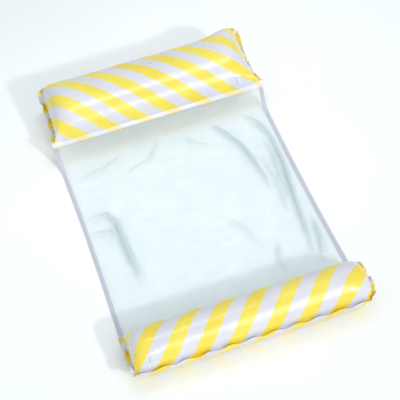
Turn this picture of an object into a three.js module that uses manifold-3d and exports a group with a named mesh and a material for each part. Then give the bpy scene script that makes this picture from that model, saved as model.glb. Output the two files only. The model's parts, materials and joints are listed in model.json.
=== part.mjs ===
// Inflatable pool float: a headrest pillow and a foot tube, joined by a net to lie on.
// Each pillow is two sheets of film welded together round their edges, and has an air valve.
// Millimetres. +X runs across the float, +Y runs from the foot tube to the headrest and +Z is up.
// The origin is on the floor, under the middle of the float's length and width.

import * as THREE from 'three';
import { mergeVertices } from 'three/addons/utils/BufferGeometryUtils.js';
import Module from 'manifold-3d';

const wasm = await Module();
wasm.setup();

// ---------------------------------------------------------------- driving dimensions

const floatWidth = 700;
const floatLength = 1200;
const film = 1; // a thicker sheet than the real 0.3 mm film, with the same outer surface
const gap = 0.3; // left between pieces that touch on the real float
const weldBorder = 14; // welded edge outside each air chamber
const borderDroop = THREE.MathUtils.degToRad(40); // the net pulls its side's border down this far

// Each pillow lies on one side of the weld that faces the net: facing is +1 for +Y, -1 for -Y.
// The weld is seamHeight above the floor. The chamber rises above it, and its lower half would
// reach drop below it if the floor didn't press it flat. Its corners stand out past the middle
// of each end by earReach.
const headrest = {
  name: 'headrest', facing: 1, depth: 225, seamHeight: 84, rise: 95, drop: 87, endRound: 75,
  earReach: 12,
  valve: { x: 268, degreesFromNet: 15 },
};
const footrest = {
  name: 'footrest', facing: -1, depth: 135, seamHeight: 65, rise: 66, drop: 67, endRound: 55,
  earReach: 2,
  valve: { x: -285, degreesFromNet: 157 },
};
for (const pillow of [headrest, footrest]) {
  pillow.seamY = pillow.facing * (floatLength / 2 - weldBorder - pillow.depth);
  pillow.weldX = floatWidth / 2 - pillow.earReach - weldBorder; // middle of an end weld
}

const netThickness = 1.2;
const netWidth = 694; // over the bindings, at the headrest and the foot tube
const netWaist = 5; // each side edge curves in by this much half way along
const netDropRun = 48; // how far along the floor the net takes to come down from a pillow
const hingeClearance = 1.8; // from the fold line to the net
const binding = { width: 11, thickness: 3, wall: 0.6 };

const valve = {
  sides: 24,
  disc: { radius: 14, bore: 5.6, thickness: 1 },
  stem: { radius: 5, bore: 3, lipRadius: 6.4, lipThickness: 1, innerEnd: -11 },
  flap: { radius: 4.4, thickness: 0.6 },
  plug: { capRadius: 5.6, capThickness: 1.4, shankLength: 4.5, shankRadius: 2.7, tipRadius: 2.3 },
  tether: { foldAt: 14, width: 3.6, thickness: 0.6 },
};

const arcSteps = 14; // along each panel's arc, from weld to weld
const endSteps = 6; // along each rounded end
const middleSteps = 8; // along the straight middle
const dropSteps = 10; // down each sloping end of the net
const floorSteps = 12; // along the net's floor stretch

// ---------------------------------------------------------------- mesh helpers

// A closed solid between two grids of points with the same rows and columns.
function solidBetween(outer, inner) {
  const rows = outer.length;
  const columns = outer[0].length;
  const points = [...outer.flat(), ...inner.flat()];
  const outside = (row, column) => row * columns + column;
  const inside = (row, column) => (rows + row) * columns + column;
  const triangles = [];
  const addQuad = (a, b, c, d) => triangles.push(a, b, c, a, c, d);
  for (let r = 0; r + 1 < rows; r++) {
    for (let c = 0; c + 1 < columns; c++) {
      addQuad(outside(r, c), outside(r, c + 1), outside(r + 1, c + 1), outside(r + 1, c));
      addQuad(inside(r, c), inside(r + 1, c), inside(r + 1, c + 1), inside(r, c + 1));
    }
    const last = columns - 1;
    addQuad(outside(r, 0), outside(r + 1, 0), inside(r + 1, 0), inside(r, 0));
    addQuad(outside(r, last), inside(r, last), inside(r + 1, last), outside(r + 1, last));
  }
  for (let c = 0; c + 1 < columns; c++) {
    const last = rows - 1;
    addQuad(outside(0, c), inside(0, c), inside(0, c + 1), outside(0, c + 1));
    addQuad(outside(last, c), outside(last, c + 1), inside(last, c + 1), inside(last, c));
  }
  const geometry = new THREE.BufferGeometry().setFromPoints(points);
  geometry.setIndex(triangles);
  return faceOutwards(geometry);
}

function signedVolume(geometry) {
  const position = geometry.getAttribute('position');
  const corner = [0, 1, 2].map(() => new THREE.Vector3());
  let sum = 0;
  for (let i = 0; i < geometry.index.count; i += 3) {
    corner.forEach((point, k) => point.fromBufferAttribute(position, geometry.index.getX(i + k)));
    sum += corner[0].dot(corner[1].clone().cross(corner[2])) / 6;
  }
  return sum;
}

// Turns every triangle round if the solid is inside out.
function faceOutwards(geometry) {
  if (signedVolume(geometry) < 0) geometry.setIndex(Array.from(geometry.index.array).reverse());
  return geometry;
}

function manifoldFrom(geometry) {
  const bare = new THREE.BufferGeometry();
  bare.setAttribute('position', geometry.getAttribute('position').clone());
  if (geometry.index) bare.setIndex(geometry.index);
  const merged = mergeVertices(bare, 1e-4);
  const mesh = new wasm.Mesh({
    numProp: 3,
    vertProperties: new Float32Array(merged.getAttribute('position').array),
    triVerts: new Uint32Array(merged.index.array),
  });
  return new wasm.Manifold(mesh);
}

function geometryFrom(manifold) {
  const mesh = manifold.getMesh();
  const geometry = new THREE.BufferGeometry();
  geometry.setAttribute('position', new THREE.BufferAttribute(mesh.vertProperties, 3));
  geometry.setIndex(Array.from(mesh.triVerts));
  return geometry;
}

// A solid of revolution about Z from a closed outline of [radius, height] points.
function turned(outline) {
  const profile = outline.map(([radius, height]) => new THREE.Vector2(radius, height));
  profile.push(profile[0].clone());
  const geometry = mergeVertices(bareCopy(new THREE.LatheGeometry(profile, valve.sides)), 1e-4);
  return faceOutwards(geometry.rotateX(Math.PI / 2));
}

function bareCopy(geometry) {
  geometry.deleteAttribute('normal');
  geometry.deleteAttribute('uv');
  return geometry;
}

function box(low, high) {
  const size = high.map((value, k) => value - low[k]);
  const middle = high.map((value, k) => (value + low[k]) / 2);
  return new THREE.BoxGeometry(...size).translate(...middle);
}

// ---------------------------------------------------------------- pillows

// 1 in the straight middle of a pillow, falling to 0 on a quarter ellipse at each end weld.
function closing(pillow, x, offset) {
  const inward = (pillow.weldX + offset - Math.abs(x)) / pillow.endRound;
  const clamped = THREE.MathUtils.clamp(inward, 0, 1);
  return Math.sqrt(1 - (1 - clamped) ** 2);
}

// How far a point near the end is carried out into the corner ear. cornerShare is 1 at the
// long edges and 0 at the middle of the end.
function earShift(pillow, x, cornerShare) {
  const intoEnd = (Math.abs(x) - pillow.weldX + pillow.endRound) / pillow.endRound;
  const ramp = THREE.MathUtils.clamp(intoEnd, 0, 1);
  return Math.sign(x) * pillow.earReach * ramp ** 2 * cornerShare;
}

// A point on a panel's arc. offset is the distance out from the panel's outer surface, and
// angle runs from 0 at the weld beside the net to PI at the far weld. side is +1 for the
// upper panel and -1 for the lower one, which the floor presses flat.
function arcPoint(pillow, side, x, angle, offset) {
  const middleY = pillow.seamY + pillow.facing * pillow.depth / 2;
  const halfDepth = pillow.depth / 2 + offset;
  const height = (side > 0 ? pillow.rise : pillow.drop) * closing(pillow, x, offset);
  const sheetHeight = gap / 2 + film + offset;
  const z = pillow.seamHeight + side * (sheetHeight + height * Math.sin(angle));
  return new THREE.Vector3(
    x + earShift(pillow, x, Math.cos(angle) ** 4),
    middleY - pillow.facing * halfDepth * Math.cos(angle),
    Math.max(z, -offset),
  );
}

// A point on the welded border, at a distance out from the weld. The border beside the net
// droops, and the far one stands straight out.
function borderPoint(pillow, side, x, distance, offset, besideNet) {
  const droop = besideNet ? borderDroop : 0;
  const outward = besideNet ? -pillow.facing : pillow.facing;
  const weldY = pillow.seamY + (besideNet ? 0 : pillow.facing * pillow.depth);
  const sheetHeight = side * (gap / 2 + film + offset);
  return new THREE.Vector3(
    x + earShift(pillow, x, 1),
    weldY + outward * (distance * Math.cos(droop) + sheetHeight * Math.sin(droop)),
    pillow.seamHeight - distance * Math.sin(droop) + sheetHeight * Math.cos(droop),
  );
}

// One row of a panel's surface, across the pillow from border to border.
function panelRow(pillow, side, x, offset) {
  const row = [
    borderPoint(pillow, side, x, weldBorder, offset, true),
    borderPoint(pillow, side, x, film + offset, offset, true),
  ];
  for (let step = 0; step <= arcSteps; step++) {
    row.push(arcPoint(pillow, side, x, Math.PI * step / arcSteps, offset));
  }
  row.push(borderPoint(pillow, side, x, film + offset, offset, false));
  row.push(borderPoint(pillow, side, x, weldBorder, offset, false));
  return row;
}

// Places along X where a pillow's section is drawn, closest together at its rounded ends.
function stations(pillow) {
  const half = [pillow.weldX + weldBorder, pillow.weldX];
  for (let step = 1; step <= endSteps; step++) {
    const turn = (Math.PI / 2) * step / endSteps;
    half.push(pillow.weldX - pillow.endRound * (1 - Math.cos(turn)));
  }
  const straight = half.at(-1);
  const middle = [];
  for (let step = 1; step < middleSteps; step++) {
    middle.push(straight - 2 * straight * step / middleSteps);
  }
  return [...half, ...middle, ...half.map((x) => -x).reverse()];
}

// The part of a pillow's panel between two distances out from its outer surface.
function panelLayer(pillow, side, from, to) {
  const places = stations(pillow);
  const outer = places.map((x) => panelRow(pillow, side, x, to));
  const inner = places.map((x) => panelRow(pillow, side, x, from));
  return solidBetween(outer, inner);
}

// ---------------------------------------------------------------- valves

// The place and turn of a pillow's valve: local Z points straight out of the film, local Y
// runs up the pillow and local X along it.
function valvePlace(pillow) {
  const angle = THREE.MathUtils.degToRad(pillow.valve.degreesFromNet);
  const small = 0.01;
  const at = (x, a) => arcPoint(pillow, 1, x, a, 0);
  const centre = at(pillow.valve.x, angle);
  const along = at(pillow.valve.x + 1, angle).sub(at(pillow.valve.x - 1, angle)).normalize();
  const up = at(pillow.valve.x, angle + small).sub(at(pillow.valve.x, angle - small)).normalize();
  if (up.z < 0) up.negate();
  const out = along.clone().cross(up).normalize();
  if (out.z < 0) out.negate();
  const across = up.clone().cross(out).normalize();
  return new THREE.Matrix4().makeBasis(across, out.clone().cross(across), out).setPosition(centre);
}

// A round cutter along the valve's axis, long enough to pass through one side of the pillow.
function valveCutter(place, radius) {
  const reach = 16;
  const cylinder = new THREE.CylinderGeometry(radius, radius, 2 * reach, valve.sides);
  return manifoldFrom(bareCopy(cylinder).rotateX(Math.PI / 2).applyMatrix4(place));
}

function upperPanel(pillow) {
  const panel = manifoldFrom(panelLayer(pillow, 1, -film, 0));
  return geometryFrom(panel.subtract(valveCutter(valvePlace(pillow), valve.disc.bore)));
}

// The clear disc that is welded to the film round the valve, curved as the film is.
function valveDisc(pillow) {
  const place = valvePlace(pillow);
  const layer = manifoldFrom(panelLayer(pillow, 1, gap, gap + valve.disc.thickness));
  const disc = layer.intersect(valveCutter(place, valve.disc.radius));
  return geometryFrom(disc.subtract(valveCutter(place, valve.disc.bore)));
}

const lipBottom = 2 * gap + valve.disc.thickness;
const lipTop = lipBottom + valve.stem.lipThickness;

// A short tube with a lip outside, and the lower half of the tether folded out beside it.
function valveStem() {
  const { radius, bore, lipRadius, innerEnd } = valve.stem;
  const { foldAt, width, thickness } = valve.tether;
  const tube = turned([
    [bore, innerEnd], [radius, innerEnd], [radius, lipBottom],
    [lipRadius, lipBottom], [lipRadius, lipTop], [bore, lipTop],
  ]);
  const strip = box([-width / 2, lipRadius - 1, lipTop - thickness], [width / 2, foldAt, lipTop]);
  return geometryFrom(manifoldFrom(tube).add(manifoldFrom(strip)));
}

// The film flap that lets air in and not out, lying against the stem's inner end.
function valveFlap() {
  const { radius, thickness } = valve.flap;
  const geometry = new THREE.CylinderGeometry(radius, radius, thickness, valve.sides);
  const middle = valve.stem.innerEnd - gap - thickness / 2;
  return bareCopy(geometry).rotateX(Math.PI / 2).translate(0, 0, middle);
}

// A cap on a tapered shank, and the upper half of the tether, from the cap to its fold.
function valvePlug() {
  const { capRadius, capThickness, shankLength, shankRadius, tipRadius } = valve.plug;
  const { foldAt, width, thickness } = valve.tether;
  const capBottom = lipTop + gap;
  const capTop = capBottom + capThickness;
  const shankEnd = capBottom - shankLength;
  const cap = turned([
    [0, shankEnd], [tipRadius, shankEnd], [shankRadius, capBottom],
    [capRadius, capBottom], [capRadius, capTop], [0, capTop],
  ]);
  const strip = box(
    [-width / 2, capRadius - 1, capBottom],
    [width / 2, foldAt, capBottom + thickness],
  );
  return geometryFrom(manifoldFrom(cap).add(manifoldFrom(strip)));
}

// ---------------------------------------------------------------- net and bindings

// The line where a pillow's drooping border ends and the net begins: the pillow folds there.
function foldLine(pillow) {
  const edge = borderPoint(pillow, 1, 0, weldBorder, 0, true);
  const below = borderPoint(pillow, -1, 0, weldBorder, 0, true);
  return edge.add(below).multiplyScalar(0.5);
}

// The net's middle line as [y, z] points, from the headrest down, along the floor and up again.
function netPath() {
  const floorZ = binding.thickness / 2;
  const ends = [headrest, footrest].map((pillow) => {
    const fold = foldLine(pillow);
    const startZ = fold.z - hingeClearance;
    const corner = new THREE.Vector2(fold.y - pillow.facing * 4, floorZ);
    const landing = new THREE.Vector2(fold.y - pillow.facing * netDropRun, floorZ);
    const curve = new THREE.QuadraticBezierCurve(new THREE.Vector2(fold.y, startZ), corner, landing);
    return curve.getPoints(dropSteps);
  });
  const [headDrop, footDrop] = ends;
  const floor = new THREE.LineCurve(headDrop.at(-1), footDrop.at(-1)).getPoints(floorSteps);
  return [...headDrop, ...floor.slice(1, -1), ...footDrop.reverse()];
}

// Half the net's width over its bindings, at one place along it.
function netHalfWidth(y) {
  const head = foldLine(headrest).y;
  const foot = foldLine(footrest).y;
  const share = (y - foot) / (head - foot);
  return netWidth / 2 - netWaist * Math.sin(Math.PI * share);
}

// Rows of points along the net's path. Each profile entry is [inset from the side edge, height
// above the net's middle surface], for the sheet on the side of X that the sign gives.
function netRows(profile) {
  const path = netPath();
  return path.map((point, i) => {
    const before = path[Math.max(i - 1, 0)];
    const after = path[Math.min(i + 1, path.length - 1)];
    const direction = after.clone().sub(before).normalize();
    const half = netHalfWidth(point.y);
    return profile.map(([sign, inset, height]) => new THREE.Vector3(
      sign * (half - inset),
      point.x + height * direction.y,
      point.y - height * direction.x,
    ));
  });
}

function netPanel() {
  const inset = binding.wall + gap;
  const outer = netRows([[-1, inset, netThickness / 2], [1, inset, netThickness / 2]]);
  const inner = netRows([[-1, inset, -netThickness / 2], [1, inset, -netThickness / 2]]);
  return solidBetween(outer, inner);
}

// A tape folded round one side edge of the net: a channel whose slot holds the edge.
function edgeBinding(sign) {
  const { width, thickness, wall } = binding;
  const outside = thickness / 2;
  const inside = outside - wall;
  const outer = netRows([
    [sign, width, outside], [sign, 0, outside], [sign, 0, -outside], [sign, width, -outside],
  ]);
  const inner = netRows([
    [sign, width, inside], [sign, wall, inside], [sign, wall, -inside], [sign, width, -inside],
  ]);
  return solidBetween(outer, inner);
}

// ---------------------------------------------------------------- the float

const printedFilm = { color: 0xf7e05a, roughness: 0.22, metalness: 0 };
const paleNet = { color: 0xeaf4f6, roughness: 0.9, metalness: 0 };
const lavenderTape = { color: 0xbfc6d5, roughness: 0.85, metalness: 0 };
const clearPlastic = { color: 0xe6ebf0, roughness: 0.15, metalness: 0 };

const inflatableFloat = new THREE.Group();

function addPiece(parent, name, geometry, finish) {
  geometry.computeVertexNormals();
  const mesh = new THREE.Mesh(geometry, new THREE.MeshStandardMaterial(finish));
  mesh.name = name;
  parent.add(mesh);
}

for (const pillow of [headrest, footrest]) {
  addPiece(inflatableFloat, `${pillow.name}_upper_panel`, upperPanel(pillow), printedFilm);
  addPiece(inflatableFloat, `${pillow.name}_lower_panel`, panelLayer(pillow, -1, -film, 0), printedFilm);
  addPiece(inflatableFloat, `${pillow.name}_valve_disc`, valveDisc(pillow), clearPlastic);
  const valveGroup = new THREE.Group();
  valvePlace(pillow).decompose(valveGroup.position, valveGroup.quaternion, valveGroup.scale);
  addPiece(valveGroup, `${pillow.name}_valve_stem`, valveStem(), clearPlastic);
  addPiece(valveGroup, `${pillow.name}_valve_flap`, valveFlap(), clearPlastic);
  addPiece(valveGroup, `${pillow.name}_valve_plug`, valvePlug(), clearPlastic);
  inflatableFloat.add(valveGroup);
}
addPiece(inflatableFloat, 'net_panel', netPanel(), paleNet);
addPiece(inflatableFloat, 'left_binding', edgeBinding(-1), lavenderTape);
addPiece(inflatableFloat, 'right_binding', edgeBinding(1), lavenderTape);

export default inflatableFloat;
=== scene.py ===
"""The looks of an inflatable pool float: a striped headrest pillow and foot tube, joined by a net.

Metres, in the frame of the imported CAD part: +X across the float, +Y from the foot tube to the headrest.
"""

import json
import math
from dataclasses import dataclass

import bpy
import numpy as np
from mathutils import Matrix, Vector
from mathutils.bvhtree import BVHTree


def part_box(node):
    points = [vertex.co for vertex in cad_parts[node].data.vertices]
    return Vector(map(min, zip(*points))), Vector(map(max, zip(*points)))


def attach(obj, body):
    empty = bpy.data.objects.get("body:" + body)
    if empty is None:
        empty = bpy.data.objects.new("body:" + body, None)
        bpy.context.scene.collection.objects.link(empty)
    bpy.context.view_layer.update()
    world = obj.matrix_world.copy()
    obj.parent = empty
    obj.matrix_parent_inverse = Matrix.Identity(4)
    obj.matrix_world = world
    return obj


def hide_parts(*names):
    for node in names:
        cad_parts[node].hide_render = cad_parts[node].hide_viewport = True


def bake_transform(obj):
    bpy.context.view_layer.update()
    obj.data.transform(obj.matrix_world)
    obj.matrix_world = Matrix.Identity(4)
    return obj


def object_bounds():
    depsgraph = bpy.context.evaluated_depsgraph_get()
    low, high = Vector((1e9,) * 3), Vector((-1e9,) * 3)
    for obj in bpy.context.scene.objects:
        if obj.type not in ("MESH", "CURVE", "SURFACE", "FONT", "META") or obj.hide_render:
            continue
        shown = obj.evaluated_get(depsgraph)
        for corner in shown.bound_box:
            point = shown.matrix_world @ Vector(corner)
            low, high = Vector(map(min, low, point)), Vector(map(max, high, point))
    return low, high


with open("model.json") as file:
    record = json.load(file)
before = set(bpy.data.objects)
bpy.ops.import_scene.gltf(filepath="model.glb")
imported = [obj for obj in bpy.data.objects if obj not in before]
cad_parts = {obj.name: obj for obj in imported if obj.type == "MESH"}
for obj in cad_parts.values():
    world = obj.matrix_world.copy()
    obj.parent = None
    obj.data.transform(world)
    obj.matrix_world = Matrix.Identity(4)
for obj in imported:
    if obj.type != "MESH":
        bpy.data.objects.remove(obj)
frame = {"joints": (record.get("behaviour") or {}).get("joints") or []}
cad_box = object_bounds()
scene = bpy.context.scene
random = np.random.default_rng(3)

# ---------------------------------------------------------------- sizes

FILM = 0.0004  # thickness of the printed film
WELD_BORDER = 0.014  # welded edge outside each air chamber
BORDER_DROOP = math.radians(40)  # the net pulls its side's border down this far
FAR_WAVE_LENGTH = 0.062  # along the border on the far side
END_BORDER_WAVE = math.radians(48)  # ruffles along the ends, where the weld has drawn in
END_WAVE_LENGTH = 0.086
END_WAVE_START = 0.04  # the ruffles grow over this distance from the net's side
CURL_CALM = 0.7  # share by which the ruffles shrink at a curled corner
CURL_TILT = 15  # degrees by which the border turns up further at a curled corner
BORDER_CELLS = 2  # cells of the simulated film across the border
CELL = 0.010  # grid spacing of the simulated film
FLAT_WIDTH = 0.74  # of each air chamber between its end welds, before it is blown up
END_FULLNESS = 2.4  # power of the curve that closes a pillow at its ends: 2 is an ellipse
QUARTER_STEPS = 90  # in each quarter turn of the curves round and along a pillow
EAR_SHARPNESS = 4  # power of the curve of a pillow's ends between their ears
RISE_START = 0.6  # share of the way across a pillow where its far side starts to rise
CLOTH_FRAMES = 20
UNEVENNESS = 0.0004  # of the film before it settles, from which its wrinkles start
WELD_SHARPNESS = 0.9  # of the fold along the weld when the surface is rounded: 1 is a sharp edge
DEEPEST_WRINKLE = 0.010
WRINKLE_REACH = 0.070  # wrinkles start at the welds and fade out over this distance
MIDDLE_WRINKLES = 0.12  # share of the wrinkles that is left in the tight middle of the film
STEADY_PASSES = 10  # of smoothing, to tell a pillow's slow swelling from its wrinkles


@dataclass
class Pillow:
    """What the frame doesn't say about a pillow."""

    name: str
    facing: int  # +1 where the pillow lies on the +Y side of its fold
    flat_depth: float  # between the long welds, before it is blown up
    drop: float  # its lower half would reach this far below the welds, if the floor didn't press it
    end_round: float  # the length over which it closes at each end
    ear_reach: float  # its corners stand out past the middle of each end by this much
    far_rise: float  # its far weld lies this much higher than the one beside the net
    far_tilt: float  # degrees by which the far border turns up
    far_wave: float  # degrees by which its waves rise above and fall below that
    far_corner: float  # radius of the border's far corners
    end_bows: dict  # how far the middle of the left (-1) and the right (1) end bows out
    curls: tuple  # corners that curl up, as (side, far or not, lift, radius)
    stripe_pitch: float
    stripe_slant: float  # how far a stripe runs along X for each metre across the pillow
    stripe_start: float  # the first stripe's place at the weld beside the net, on the upper film
    seed: int


HEADREST = Pillow(
    name="headrest",
    facing=1,
    flat_depth=0.334,
    drop=0.087,
    end_round=0.072,
    ear_reach=0.012,
    far_rise=0.011,
    far_tilt=45,
    far_wave=26,
    far_corner=0.052,
    end_bows={-1: 0.0, 1: 0.0},
    curls=(
        (-1, True, 0.020, 0.060),
        (1, True, 0.040, 0.085),
        (1, False, 0.014, 0.026),
        (-1, False, 0.008, 0.022),
    ),
    stripe_pitch=0.0980,
    stripe_slant=0.90,
    stripe_start=-0.0545,
    seed=3,
)
FOOTREST = Pillow(
    name="footrest",
    facing=-1,
    flat_depth=0.209,
    drop=0.067,
    end_round=0.055,
    ear_reach=0.002,
    far_rise=0.0,
    far_tilt=40,
    far_wave=12,
    far_corner=0.034,
    end_bows={-1: 0.0, 1: 0.013},
    curls=((1, False, 0.010, 0.025), (-1, False, 0.008, 0.025)),
    stripe_pitch=0.0990,
    stripe_slant=0.83,
    stripe_start=0.015,
    seed=7,
)
PILLOWS = (HEADREST, FOOTREST)
JOINTS = {joint["name"]: joint for joint in frame["joints"]}


def fold_line(pillow):
    """(y, z) of the line where a pillow's border meets the net."""
    return JOINTS[pillow.name + "_fold"]["pos_m"][1:]


def weld_line(pillow):
    """(y, z) of the weld between the air chamber and the border beside the net."""
    y, z = fold_line(pillow)
    return (
        y + pillow.facing * WELD_BORDER * math.cos(BORDER_DROOP),
        z + WELD_BORDER * math.sin(BORDER_DROOP),
    )


def chamber_size(pillow):
    """(depth between the long welds, height above them) of a blown-up air chamber."""
    low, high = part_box(pillow.name + "_upper_panel")
    outer_y = high.y if pillow.facing > 0 else low.y
    weld_y, weld_z = weld_line(pillow)
    return abs(outer_y - weld_y) - WELD_BORDER, high.z - weld_z


def weld_x(pillow):
    """How far from the float's middle line the middle of a pillow's end welds lies."""
    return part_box(pillow.name + "_upper_panel")[1].x - pillow.ear_reach - WELD_BORDER


def smooth_step(value, start, end):
    share = np.clip((value - start) / (end - start), 0, 1)
    return share * share * (3 - 2 * share)


# ---------------------------------------------------------------- mesh helpers


def grid_faces(index):
    """Quads between the rows and columns of a grid of vertex numbers, facing +Z on a flat grid."""
    corners = (index[:-1, :-1], index[:-1, 1:], index[1:, 1:], index[1:, :-1])
    return np.stack([corner.ravel() for corner in corners], axis=1)


def new_object(name, points, faces, material=None):
    mesh = bpy.data.meshes.new(name)
    mesh.from_pydata([tuple(p) for p in points], [], [tuple(int(i) for i in f) for f in faces])
    mesh.update()
    if material:
        mesh.materials.append(material)
    thing = bpy.data.objects.new(name, mesh)
    scene.collection.objects.link(thing)
    return thing


def shade_smooth(thing):
    thing.data.polygons.foreach_set("use_smooth", [True] * len(thing.data.polygons))
    return thing


def set_uv(thing, flat):
    """Gives each vertex its place on the flat cut, in metres, as the UV map."""
    layer = thing.data.uv_layers.new(name="flat_cut")
    corner_vertex = np.zeros(len(thing.data.loops), np.int32)
    thing.data.loops.foreach_get("vertex_index", corner_vertex)
    layer.data.foreach_set("uv", np.asarray(flat, np.float32)[corner_vertex].ravel())


def apply_modifiers(thing):
    """Replaces the object's mesh by what its modifiers make of it."""
    depsgraph = bpy.context.evaluated_depsgraph_get()
    made = bpy.data.meshes.new_from_object(thing.evaluated_get(depsgraph), depsgraph=depsgraph)
    thing.modifiers.clear()
    thing.data = made
    return thing


def running_length(line):
    """How far along a line of points each point lies."""
    return np.concatenate([[0], np.cumsum(np.linalg.norm(np.diff(line, axis=0), axis=1))])


def unit_rows(rows):
    return rows / np.linalg.norm(rows, axis=1, keepdims=True)


# ---------------------------------------------------------------- blowing up the pillows


def evenly(line, count):
    """Points evenly spaced along a line of points."""
    length = running_length(line)
    places = np.linspace(0, length[-1], count)
    return np.stack([np.interp(places, length, line[:, k]) for k in range(line.shape[1])], axis=1)


def flat_lines(chamber_length):
    """Grid lines along one direction of the flat pillow: border, air chamber, border."""
    cells = round(chamber_length / CELL)
    inner = np.linspace(-chamber_length / 2, chamber_length / 2, cells + 1)
    steps = WELD_BORDER * np.arange(1, BORDER_CELLS + 1) / BORDER_CELLS
    return np.concatenate([inner[0] - steps[::-1], inner, inner[-1] + steps])


def square_pattern(pillow):
    """(x, y) of every grid point of the flat film, with the border's corners just rounded off."""
    x, y = np.meshgrid(flat_lines(FLAT_WIDTH), flat_lines(pillow.flat_depth))
    beyond_x = np.maximum(np.abs(x) - FLAT_WIDTH / 2, 0)
    beyond_y = np.maximum(np.abs(y) - pillow.flat_depth / 2, 0)
    reach = np.hypot(beyond_x, beyond_y)
    shrink = np.divide(np.maximum(beyond_x, beyond_y), reach, out=np.ones_like(reach), where=reach > 0)
    x = x - np.sign(x) * beyond_x * (1 - shrink)
    y = y - np.sign(y) * beyond_y * (1 - shrink)
    return x, y


def flat_pattern(pillow):
    """(x, y) of every grid point of the flat film as it is cut."""
    x, y = square_pattern(pillow)
    outer_x = FLAT_WIDTH / 2 + WELD_BORDER
    outer_y = pillow.flat_depth / 2 + WELD_BORDER
    return round_far_corners(pillow, x, y, outer_x, outer_y)


def round_far_corners(pillow, x, y, outer_x, outer_y):
    """Draws the squares of the grid at the far corners in to arcs, with the border as wide as before."""
    radius = pillow.far_corner
    from_x = np.maximum(np.abs(x) - (outer_x - radius), 0)
    from_y = np.maximum(y - (outer_y - radius), 0)
    from_centre = np.hypot(from_x, from_y)
    square = np.maximum(from_x, from_y)
    scale = np.divide(square, from_centre, out=np.ones_like(square), where=from_centre > 0)
    return x - np.sign(x) * from_x * (1 - scale), y - from_y * (1 - scale)


def crown_line(pillow):
    """(x, closing) along a pillow's crown at the flat film's grid lines. closing is 1 in the
    straight middle and falls to 0 on a full round curve at each end weld."""
    height = chamber_size(pillow)[1]
    angle = np.linspace(0, np.pi / 2, QUARTER_STEPS + 1)
    power = 2 / END_FULLNESS
    end = np.stack([pillow.end_round * np.sin(angle) ** power, height * np.cos(angle) ** power], axis=1)
    end[-1, 1] = 0
    length = running_length(end)
    straight = weld_x(pillow) - pillow.end_round
    flat = flat_lines(FLAT_WIDTH)[BORDER_CELLS:-BORDER_CELLS]
    into_end = (np.abs(flat) - straight) / (FLAT_WIDTH / 2 - straight) * length[-1]
    x = np.where(into_end > 0, straight + np.interp(into_end, length, end[:, 0]), np.abs(flat))
    closing = np.where(into_end > 0, np.interp(into_end, length, end[:, 1]) / height, 1.0)
    return np.sign(flat) * x, closing


def smooth_pillow(pillow):
    """Grids of points of the two films of a blown-up pillow with no wrinkles, in its place."""
    depth, rise = chamber_size(pillow)
    weld_y, weld_z = weld_line(pillow)
    flat_x, flat_y = flat_pattern(pillow)
    rows = flat_x.shape[0] - 2 * BORDER_CELLS
    angle = np.linspace(0, np.pi, 2 * QUARTER_STEPS + 1)
    grids = []
    for height in (rise, -pillow.drop):
        grid = np.zeros(flat_x.shape + (3,))
        for column, (x, closing) in enumerate(zip(*crown_line(pillow)), BORDER_CELLS):
            arc = np.stack([1 - np.cos(angle), np.sin(angle) * closing * height], axis=1)
            arc *= (depth / 2, 1)
            across, up = evenly(arc, rows).T
            ramp = smooth_step(abs(x), weld_x(pillow) - pillow.end_round, weld_x(pillow))
            share = across / depth
            bow = pillow.end_bows[int(np.sign(x) or 1) * pillow.facing]
            ears = pillow.ear_reach * np.abs(2 * share - 1) ** EAR_SHARPNESS
            reach = ears + bow * (1 - (2 * share - 1) ** 2)
            inner = slice(BORDER_CELLS, -BORDER_CELLS)
            grid[inner, column, 0] = x + np.sign(x) * reach * ramp
            grid[inner, column, 1] = across
            grid[inner, column, 2] = up + pillow.far_rise * smooth_step(share, RISE_START, 1.0)
        add_border(pillow, grid)
        outer_x = weld_x(pillow) + pillow.ear_reach + WELD_BORDER
        outer_y = depth + WELD_BORDER
        x, y = round_far_corners(pillow, grid[..., 0], grid[..., 1], outer_x, outer_y)
        grid[..., 0] = pillow.facing * x
        grid[..., 1] = weld_y + pillow.facing * y
        grid[..., 2] = np.maximum(weld_z + grid[..., 2] + corner_lift(pillow, grid), FILM)
        grids.append(grid)
    return grids


def add_border(pillow, grid):
    """Sets the border round the air chamber: drooping beside the net, waved and turned up at the
    far side and ruffled at the ends."""
    flat_x, flat_y = square_pattern(pillow)
    count_y, count_x = flat_x.shape
    rows = np.clip(np.arange(count_y), BORDER_CELLS, count_y - BORDER_CELLS - 1)
    columns = np.clip(np.arange(count_x), BORDER_CELLS, count_x - BORDER_CELLS - 1)
    nearest = np.ix_(rows, columns)
    out_x = flat_x - flat_x[nearest]
    out_y = flat_y - flat_y[nearest]
    grid[:] = grid[nearest]
    from_net = flat_y[nearest] + pillow.flat_depth / 2
    far_wave = np.sin(2 * np.pi * flat_x[nearest] / FAR_WAVE_LENGTH + pillow.seed)
    curl = curl_share(pillow, flat_x[nearest], from_net)
    far_tilt = np.radians(pillow.far_tilt + pillow.far_wave * far_wave * (1 - curl) + CURL_TILT * curl)
    end_wave = np.sin(2 * np.pi * from_net / END_WAVE_LENGTH + pillow.seed + np.sign(flat_x))
    end_tilt = END_BORDER_WAVE * end_wave * smooth_step(from_net, 0.0, END_WAVE_START)
    end_tilt *= 1 - CURL_CALM * curl
    tilt = np.where(out_y < 0, -BORDER_DROOP, far_tilt)
    grid[..., 0] += out_x * np.cos(end_tilt)
    grid[..., 1] += out_y * np.cos(tilt)
    grid[..., 2] += np.abs(out_x) * np.sin(end_tilt) + np.abs(out_y) * np.sin(tilt)


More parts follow.
